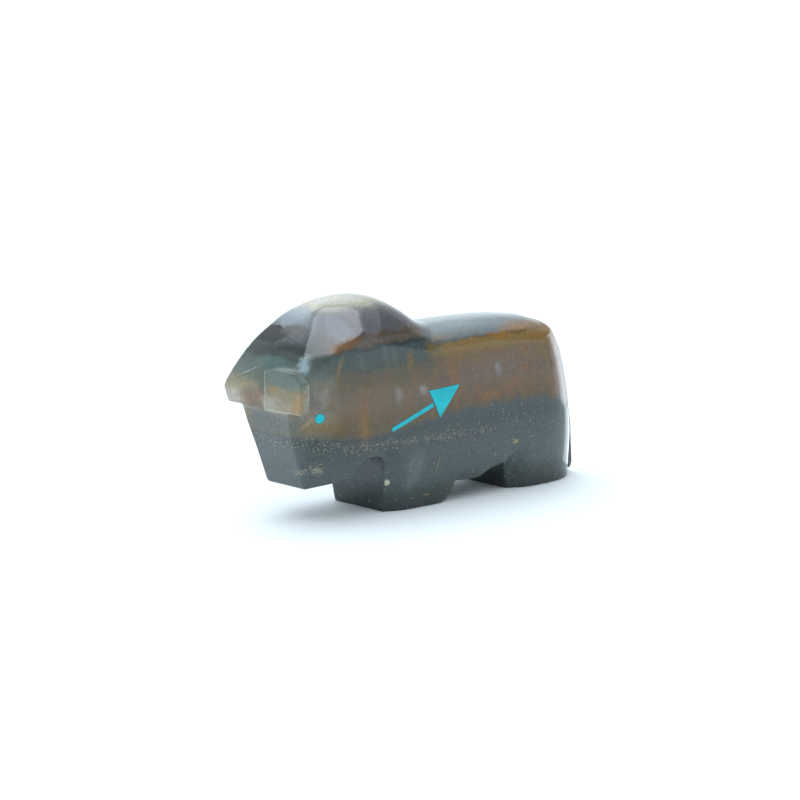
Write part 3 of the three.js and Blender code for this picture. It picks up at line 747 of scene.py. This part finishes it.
# Elsewhere a grain is rare: 1 place in 20 in the blue-grey, 1 in 250 above it.
rare = add(tree, "Math", {0: in_foot, 1: RARE_IN_FOOT, 2: RARE_ABOVE}, operation="MULTIPLY_ADD").outputs[0]
crowd = add(tree, "Math", {0: crowd, 1: rare}, operation="ADD").outputs[0]
paler = 0.0
for centre, half_axes in SPECK_NESTS:
    away = place_in_ellipsoid(tree, mm, centre, half_axes)
    nest = add(tree, "MapRange", {"Value": away, 1: 1.3, 2: 0.6}).outputs[0]
    crowd = add(tree, "Math", {0: crowd, 1: nest}, operation="ADD").outputs[0]
    paler = add(tree, "Math", {0: nest, 1: NEST_PALER, 2: paler}, operation="MULTIPLY_ADD").outputs[0]
print("nests of specks:", len(SPECK_NESTS))

# %% [markdown]
# ## The specks themselves
# The grains are about 0.2 mm across. A random lattice with cells of that size, the Voronoi pattern,
# gives each cell three random numbers: one decides whether it holds a grain, one its kind, and one
# its size. The distance from the cell's own point then draws it with a soft edge.

# %% Grains of pyrite and shale
CELLS_PER_MM = 4.8
SMALLEST_GRAIN, LARGEST_GRAIN = 0.3, 0.65  # radius, in cells
GRAIN_CORE = 0.45  # share of its radius that has the full strength
GRAIN_STRENGTH = 0.7
SHALE, PYRITE = "#272c30", "#a89e84"
SHARE_OF_SHALE = 0.48
grains = add(tree, "TexVoronoi", {"Vector": mm, "Scale": CELLS_PER_MM})
chance, kind, size = add(tree, "SeparateXYZ", {0: grains.outputs["Color"]}).outputs
there = add(tree, "Math", {0: chance, 1: crowd}, operation="LESS_THAN").outputs[0]
reach = add(tree, "MapRange", {"Value": size, 3: SMALLEST_GRAIN, 4: LARGEST_GRAIN}).outputs[0]
core = add(tree, "Math", {0: reach, 1: GRAIN_CORE}, operation="MULTIPLY").outputs[0]
span = {"Value": grains.outputs["Distance"], 1: reach, 2: core, 3: 0, 4: GRAIN_STRENGTH}
dot = add(tree, "MapRange", span).outputs[0]
dot = add(tree, "Math", {0: dot, 1: there}, operation="MULTIPLY").outputs[0]
paler = add(tree, "Math", {0: kind, 1: paler}, operation="ADD").outputs[0]
pale = add(tree, "Math", {0: paler, 1: SHARE_OF_SHALE}, operation="GREATER_THAN").outputs[0]
grain = add(tree, "Mix", {0: pale, 6: linear(SHALE), 7: linear(PYRITE)}, data_type="RGBA").outputs[2]
colour = add(tree, "Mix", {0: dot, 6: colour, 7: grain}, data_type="RGBA").outputs[2]

# The grain of the mud is finer than a pixel. It is drawn from 0.5 mm down to 0.06 mm to show at all.
MUD_WIDTH = 0.5
MUD_SHADES = (0.84, 1.16)
mud = add(tree, "TexNoise", {"Vector": mm, "Scale": 1 / MUD_WIDTH, "Detail": 3, "Roughness": 0.7})
span = {"Value": mud.outputs["Fac"], 1: 0.3, 2: 0.7, 3: MUD_SHADES[0], 4: MUD_SHADES[1]}
shade = add(tree, "MapRange", span).outputs[0]
colour = add(tree, "VectorMath", {0: colour, "Scale": shade}, operation="SCALE").outputs[0]
print("size of a grain's cell:", round(1 / CELLS_PER_MM, 2), "mm")

# %% [markdown]
# ## Polish
# The stone was rubbed with finer and finer grit and is glassy now, a little less so in patches 1.4
# mm wide, and duller in three places round the mane's flat cut. Scratches of the last grit are too
# fine to show, so they are drawn 0.2 mm wide, 2 mm long and a few thousandths of a millimetre deep.
# The index, 1.46, is a little below that of quartz, 1.54, which fits the photo's reflections.

# %% Polish
POLISH = (0.07, 0.2)  # roughness where the stone is hardest and softest
POLISH_PER_MM = 0.7
DULL_PATCHES = [  # centre, half axes, how much rougher, and its turns if it has any
    ((-20.6, -6.2, 20.3), (4.6, 2.4, 1.3), 0.45),
    ((-16.2, -5.9, 21.9), (2.8, 1.6, 1), 0.4),
    ((-12, -4.2, 25), (1.5, 1.8, 2.6), 0.65, (0, 20)),
]
SCRATCHES_PER_MM = (5, 5, 0.5)
SCRATCH_SLANT = 50
SCRATCH_DEPTH = 0.000003  # in metres
worn = add(tree, "TexNoise", {"Vector": mm, "Scale": POLISH_PER_MM, "Detail": 4}).outputs["Fac"]
roughness = add(tree, "MapRange", {"Value": worn, 1: 0.3, 2: 0.7, 3: POLISH[0], 4: POLISH[1]}).outputs[0]
for centre, half_axes, rougher, *turns in DULL_PATCHES:
    away = place_in_ellipsoid(tree, mm, centre, half_axes, *turns)
    dull = add(tree, "MapRange", {"Value": away, 1: 1.25, 2: 0.75, 3: 0, 4: rougher}).outputs[0]
    roughness = add(tree, "Math", {0: roughness, 1: dull}, operation="ADD").outputs[0]
scratched = add(tree, "Mapping", {
    "Vector": mm, "Rotation": (0, np.radians(SCRATCH_SLANT), 0), "Scale": SCRATCHES_PER_MM,
}).outputs[0]
scratches = add(tree, "TexNoise", {"Vector": scratched, "Scale": 1.0, "Detail": 3}).outputs["Fac"]
relief = add(tree, "Bump", {"Height": scratches, "Strength": 0.6, "Distance": SCRATCH_DEPTH}).outputs[0]
shader = add(tree, "BsdfPrincipled", {
    "Base Color": colour, "Roughness": roughness, "IOR": 1.46, "Normal": relief,
})
add(tree, "OutputMaterial", {"Surface": shader.outputs[0]})
print("stone nodes:", len(tree.nodes))

# %% [markdown]
# ## The turquoise
# Small slips of turquoise, sawn, glued in with a dark glue, ground flush with the stone and then
# polished with it. Turquoise has faint clouds, here 1.4 mm wide. An attribute of the mesh says how
# far a point is from the slip's edge, so that the glue line is as thin as the real one.

# %% Turquoise, ground flush and polished
CLOUDS_PER_METRE = 700
GLUE_BLUR = 0.03
turquoise, tree = new_material("polished_turquoise")
place = add(tree, "TexCoord").outputs["Object"]
cloud = add(tree, "TexNoise", {"Vector": place, "Scale": CLOUDS_PER_METRE, "Detail": 4}).outputs["Fac"]
blue = add(tree, "ValToRGB", {"Fac": cloud})
set_ramp(blue, [(0.35, "#00a9b5"), (0.65, "#00bcc8")])
edge_mm = add(tree, "Attribute", attribute_name="edge_mm").outputs["Fac"]
glued = add(tree, "MapRange", {"Value": edge_mm, 1: -GLUE_BLUR, 2: GLUE_BLUR, 3: 0, 4: 0.85}).outputs[0]
slip_and_glue = add(tree, "Mix", {
    0: glued, 6: blue.outputs[0], 7: linear("#3d362f"),
}, data_type="RGBA").outputs[2]
# The real slips mirror little of the room, so half the reflection of their index is kept.
shader = add(tree, "BsdfPrincipled", {
    "Base Color": slip_and_glue, "Roughness": 0.35, "IOR": 1.61, "Specular IOR Level": 0.25,
})
add(tree, "OutputMaterial", {"Surface": shader.outputs[0]})
print("turquoise nodes:", len(tree.nodes))

# %% [markdown]
# ## Skin the horse
# The lattice step of about a quarter of a millimetre is two pixels in the photo, fine enough for
# the crisp edges and still under 200,000 triangles.

# %% Skin the horse
LATTICE = 0.27
HORSE_LOW, HORSE_HIGH = (-27.3, -8.8, -0.9), (26.9, 8.9, 28.9)
points, faces, normals = skin(horse, HORSE_LOW, HORSE_HIGH, LATTICE)
body = make_piece("polished_body", points, faces, normals, stone)
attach(body, "root")
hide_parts("stone_body")

# %% [markdown]
# ## Shapes of the inlay
# The arrow is the common heartline ornament: a thin strip and a triangle that leans a little more,
# each sawn from a flat slip. The eyes are round rods set square into the cheeks. Each is a distance
# to a straight-sided outline; how deep it goes comes later.

# %% Arrow and eyes
SHAFT_START, SHAFT_LEAN = (-10.9, 11.07), 18.9
SHAFT_LENGTH, SHAFT_HALF_WIDTH = 7.45, 0.28
ARROW_TIP, ARROWHEAD_LEAN = (0.85, 15.53), 24.8
ARROWHEAD_LENGTH, ARROWHEAD_HALF_WIDTH = 4.85, 2.0
EYE_X, EYE_Z = -21.92, 13.8
EYE_RADIUS = 0.61


def turned(u, v, degrees):
    """Plane coordinates along and across a direction that leans by an angle."""
    a = np.radians(degrees)
    return u * np.cos(a) + v * np.sin(a), v * np.cos(a) - u * np.sin(a)


def shaft(x, y, z):
    """A strip that leans upwards to the rear and stops at the arrowhead."""
    along, across = turned(x - SHAFT_START[0], z - SHAFT_START[1], SHAFT_LEAN)
    ends = np.maximum(-along, along - SHAFT_LENGTH)
    return np.maximum(np.abs(across) - SHAFT_HALF_WIDTH, ends)


def arrowhead(x, y, z):
    """A triangle with its tip to the rear: two slanting sides and a straight base."""
    along, across = turned(ARROW_TIP[0] - x, ARROW_TIP[1] - z, ARROWHEAD_LEAN)
    slant = np.arctan2(ARROWHEAD_HALF_WIDTH, ARROWHEAD_LENGTH)
    return np.maximum(np.abs(across) * np.cos(slant) - along * np.sin(slant), along - ARROWHEAD_LENGTH)


def eye(side):
    """A round rod set square into the cheek of one side, and the place where it shows."""
    outward = np.array([-CHEEK_ALONG, side, -CHEEK_UP]) / CHEEK_SLOPE
    centre = np.array([EYE_X, side * cheek_half_width(EYE_X, EYE_Z), EYE_Z])

    def rod(x, y, z):
        """Distance from the rod's axis less its radius."""
        out = (x - centre[0]) * outward[0] + (y - centre[1]) * outward[1] + (z - centre[2]) * outward[2]
        away = (x - centre[0]) ** 2 + (y - centre[1]) ** 2 + (z - centre[2]) ** 2 - out**2
        return np.sqrt(np.maximum(away, 0)) - EYE_RADIUS

    return rod, centre


print("width of the shaft and the arrowhead:", 2 * SHAFT_HALF_WIDTH, 2 * ARROWHEAD_HALF_WIDTH, "mm")

# %% [markdown]
# ## Skin the inlay
# Each slip of turquoise is the part of a straight-sided plug that lies inside the horse, grown by a
# few hundredths of a millimetre so that it shows, and closed behind by the floor of its recess.

# %% Skin the inlay
GLUE = 0.07
PROUD = 0.03
DEEP = 0.9
INLAY_LATTICE = 0.08
EYE_ROOM = 1.4


def plug(outline):
    """The outline grown by the glue, from just proud of the stone down to the recess floor."""

    def field(x, y, z):
        """The largest of the three distances."""
        stone_distance = horse(x, y, z)
        depth = np.maximum(stone_distance - PROUD, -stone_distance - DEEP)
        return np.maximum(outline(x, y, z) - GLUE, depth)

    return field


inlays = {
    "arrow_shaft_inlay": (shaft, (-11.6, -7.8, 10.4), (-3.0, -5.8, 14.4)),
    "arrowhead_inlay": (arrowhead, (-5.5, -7.8, 10.8), (1.5, -5.8, 16.7)),
}
for name, side in (("eye_inlay_left", -1), ("eye_inlay_right", 1)):
    rod, centre = eye(side)
    inlays[name] = (rod, centre - EYE_ROOM, centre + EYE_ROOM)
for name, (outline, low, high) in inlays.items():
    points, faces, normals = skin(plug(outline), low, high, INLAY_LATTICE)
    piece = make_piece("turquoise_" + name.replace("_inlay", ""), points, faces, normals, turquoise)
    edges = piece.data.attributes.new("edge_mm", "FLOAT", "POINT")
    edges.data.foreach_set("value", outline(*points.T))
    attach(piece, "root")
    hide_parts(name)

# %% [markdown]
# ## The floor
# The photo is a bright table-top shot on white paper. One flat sheet, far larger than the view, is
# enough: it is matt, a very pale cool white, and catches the soft shadow.

# %% White paper floor
FLOOR_REACH = 3  # metres each way, so that its edge is out of sight
paper, tree = new_material("matt_white_paper")
shader = add(tree, "BsdfDiffuse", {"Color": linear("#f6fafc")})
add(tree, "OutputMaterial", {"Surface": shader.outputs[0]})
floor_corners = FLOOR_REACH * np.array([(-1, -1, 0), (1, -1, 0), (1, 1, 0), (-1, 1, 0)])
floor_mesh = bpy.data.meshes.new("paper_floor")
floor_mesh.from_pydata(floor_corners.tolist(), [], [(0, 1, 2, 3)])
floor_mesh.materials.append(paper)
floor = put_in_scene("paper_floor", floor_mesh)
print("floor:", 2 * FLOOR_REACH, "metres square")

# %% [markdown]
# ## The room's soft light
# Light comes from all round, most of it from above and behind, and leaves a faint shadow towards
# the left. So the world is a white room: dim walls, a bright ceiling, and a few round patches that
# are brighter or darker, because a polished stone shows the room it stands in.


# %% White room
def towards(azimuth, elevation):
    """Unit vector to a place in the room: azimuth 0 faces the flank with the arrow, 90 the tail."""
    a, e = np.radians(azimuth), np.radians(elevation)
    return np.array([np.sin(a) * np.cos(e), -np.cos(a) * np.cos(e), np.sin(e)])


WALL_LIGHT, WALL_TOP = 0.63, 28
CEILING_LIGHT, CEILING_FROM = 1.62, 52
PATCHES_OF_ROOM = [
    # azimuth, elevation, radius and soft edge in degrees, and how bright
    (41, 4, 16, 7, 1.15),
    (-130, 8, 35, 20, 1.4),
    (72, 27, 20, 4, 0.08),
    (52, 26, 12, 4, 0.08),
    (150, 4, 32, 16, 1.5),
    (150, 58, 25, 12, 3),
]
world = bpy.data.worlds.new("white_room")
bpy.context.scene.world = world
world.use_nodes = True
tree = world.node_tree
direction = add(tree, "TexCoord").outputs["Generated"]
up = add(tree, "SeparateXYZ", {0: direction}).outputs["Z"]
wall_top, ceiling_from = np.sin(np.radians([WALL_TOP, CEILING_FROM]))
span = {"Value": up, 1: wall_top, 2: ceiling_from, 3: WALL_LIGHT, 4: CEILING_LIGHT}
light = add(tree, "MapRange", span).outputs[0]
for azimuth, elevation, radius, soft, brightness in PATCHES_OF_ROOM:
    centre = tuple(towards(azimuth, elevation))
    near = add(tree, "VectorMath", {0: direction, 1: centre}, operation="DOT_PRODUCT").outputs["Value"]
    span = {"Value": near, 1: np.cos(np.radians(radius + soft)), 2: np.cos(np.radians(radius - soft))}
    share = add(tree, "MapRange", span, interpolation_type="SMOOTHSTEP").outputs[0]
    light = add(tree, "Mix", {0: share, 2: light, 3: brightness}).outputs[0]
background = tree.nodes["Background"]
background.inputs["Color"].default_value = linear("#ecf6fd")
tree.links.new(light, background.inputs["Strength"])
print("room nodes:", len(tree.nodes))

# %% [markdown]
# ## Things that the polish mirrors
# Three things show as clear reflections: a window in the mane's flat cut, a white card with a dimmer
# edge beside the rump, and the lit table. Each is a lamp that shows in reflections only.


# %% Lamps
def looking(position, target, roll=0):
    """Placement of a lamp or camera: its own -Z points from the position to the target, and roll
    turns it about that line."""
    back = np.array(position, float) - np.array(target, float)
    back /= np.linalg.norm(back)
    right = np.cross((0, 0, 1), back)
    right /= np.linalg.norm(right)
    above = np.cross(back, right)
    a = np.radians(roll)
    across = right * np.cos(a) + above * np.sin(a)
    upwards = above * np.cos(a) - right * np.sin(a)
    placed = np.eye(4)
    placed[:3, :3] = np.stack([across, upwards, back], axis=1)
    placed[:3, 3] = position
    return Matrix(placed.tolist())


COOL_DAYLIGHT = (0.86, 0.92, 1)


def mirrored_lamp(name, centre, target, size, brightness, roll=0):
    """A bright rectangle that shows only as a reflection in the polish. Four times its area times
    its brightness gives its watts."""
    data = bpy.data.lights.new(name, "AREA")
    data.shape = "RECTANGLE"
    data.size, data.size_y = size
    data.energy = 4 * size[0] * size[1] * brightness
    data.color = COOL_DAYLIGHT
    lamp = put_in_scene(name, data)
    lamp.matrix_world = looking(centre, target, roll)
    lamp.visible_diffuse = False
    lamp.visible_camera = False
    print(name, "lamp:", round(data.energy, 4), "W")


# Places and sizes are in metres; the window is a metre away and hangs on its corner.
mirrored_lamp("window", towards(39, 50), (0, 0, 0), (0.36, 0.36), 3.6, roll=45)
mirrored_lamp("card", (0.075, -0.009, 0.022), (0, -0.009, 0.022), (0.024, 0.044), 1.9)
mirrored_lamp("card_edge", (0.08, -0.009, 0.022), (0, -0.009, 0.022), (0.06, 0.044), 0.9)
mirrored_lamp("lit_table", (0.05, 0.005, 0.0005), (0.05, 0.0049, 0.1), (0.045, 0.022), 1.3)

# %% [markdown]
# ## The camera
# The view is that of a long lens 46 cm away, 41.6 degrees round from the flank towards the head and
# 10.6 degrees up. These were found by matching the outline, the feet and the inlay to the photo.

# %% Camera
AZIMUTH, ELEVATION = -41.6, 10.6
CAMERA_DISTANCE = 460
LOOKS_AT = (-6.7, -3.95, 14)
towards_camera = towards(AZIMUTH, ELEVATION)
target = np.array(LOOKS_AT) * MM
camera_data = bpy.data.cameras.new("camera")
camera_data.sensor_width = 36
camera_data.lens = 162
camera_data.clip_start = 0.01
camera = put_in_scene("camera", camera_data)
camera.matrix_world = looking(target + towards_camera * CAMERA_DISTANCE * MM, target)
bpy.context.scene.camera = camera
bpy.context.scene.view_settings.view_transform = "Standard"
print("view of the camera in degrees:", round(float(np.degrees(camera_data.angle)), 1))
